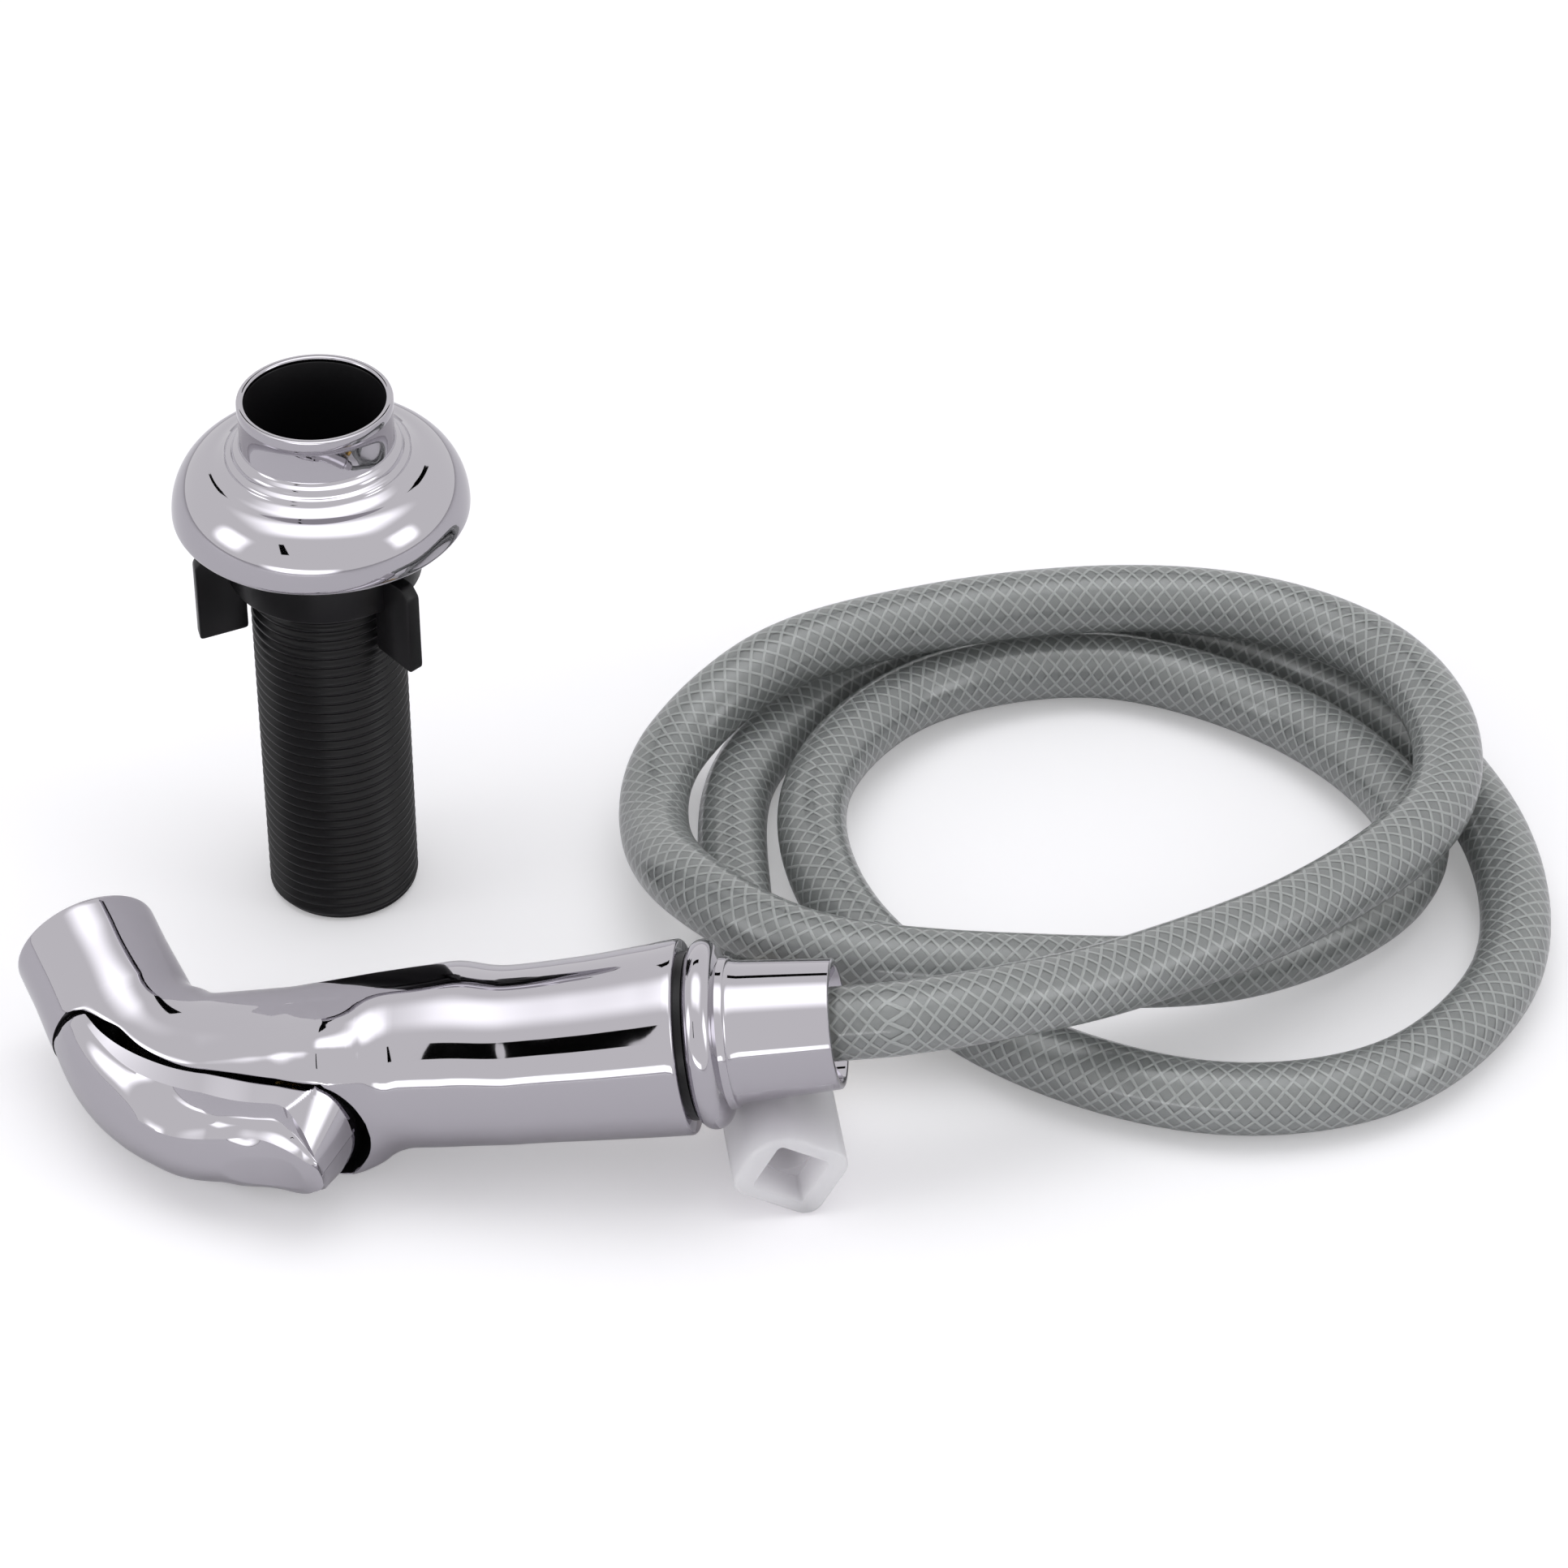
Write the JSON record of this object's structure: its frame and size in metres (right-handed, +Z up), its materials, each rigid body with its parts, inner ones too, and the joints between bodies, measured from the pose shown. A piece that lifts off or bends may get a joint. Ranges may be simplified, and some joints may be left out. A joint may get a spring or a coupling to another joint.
{
  "type": "side sprayer with deck holder",
  "caption": "Chrome bath side sprayer with a thumb lever lying on its side, coiled clear braided hose with end nut, and a standing threaded deck holder with wing nut.",
  "frame": {"origin": "centre of the holder's shank foot, on the surface that the set lies on", "axes": "+Z up along the holder's shank, +X the way the handset's handle points from its head to its hose end, +Y towards the hose coil's far side"},
  "size_m": [0.2854, 0.1806, 0.1117],
  "materials": {
    "chrome_plate": "polished",
    "black_plastic": "satin",
    "rubber": "matte",
    "brass": "turned",
    "clear_hose": "clear braided",
    "white_plastic": "translucent"
  },
  "bodies": {
    "base": {"holder_shank": "black_plastic", "holder_flange": "chrome_plate", "flange_gasket": "rubber", "handset_body": "chrome_plate", "lever_pin": "brass", "spray_insert": "chrome_plate", "spray_seal": "rubber", "valve_seat": "brass", "valve_cap": "brass", "base_coupling": "chrome_plate", "coupling_washer": "rubber", "hose_nipple": "brass", "nipple_oring": "rubber", "retaining_clip": "brass", "hose_ferrule": "brass", "hose": "clear_hose", "tail_ferrule": "brass", "hose_tail": "brass", "hose_nut": "white_plastic", "hose_nut_washer": "rubber"},
    "lever": {"trigger_lever": "chrome_plate"},
    "valve": {"valve_stem": "brass", "valve_seal": "rubber"},
    "washer": {"nut_washer": "rubber"},
    "nut": {"wing_nut": "black_plastic"}
  },
  "joints": [
    {"name": "lever_hinge", "type": "hinge", "parent": "base", "child": "lever", "pos_m": [-0.03902, -0.07018, 0.01411], "axis": [-0.1743, -0.3476, 0.9213], "range_deg": [0, 4.5], "stiffness_Nm_per_rad": 1.2, "springref_deg": -6.88},
    {"name": "valve_slide", "type": "slide", "parent": "base", "child": "valve", "axis": [0.0041, 0.9354, 0.3537], "range_m": [0, 0.00295]},
    {"name": "nut_travel", "type": "slide", "parent": "base", "child": "washer", "axis": [0, 0, -1], "range_m": [-0.0022, 0.0595]},
    {"name": "nut_spin", "type": "hinge", "parent": "washer", "child": "nut", "pos_m": [0, 0, 0.0776], "axis": [0, 0, -1], "range_deg": [-360, 10080]}
  ],
  "couplings": [
    {"joint": "valve_slide", "follows": "lever_hinge", "m_per_rad": 0.037},
    {"joint": "nut_travel", "follows": "nut_spin", "m_per_rad": 0.00033693}
  ]
}
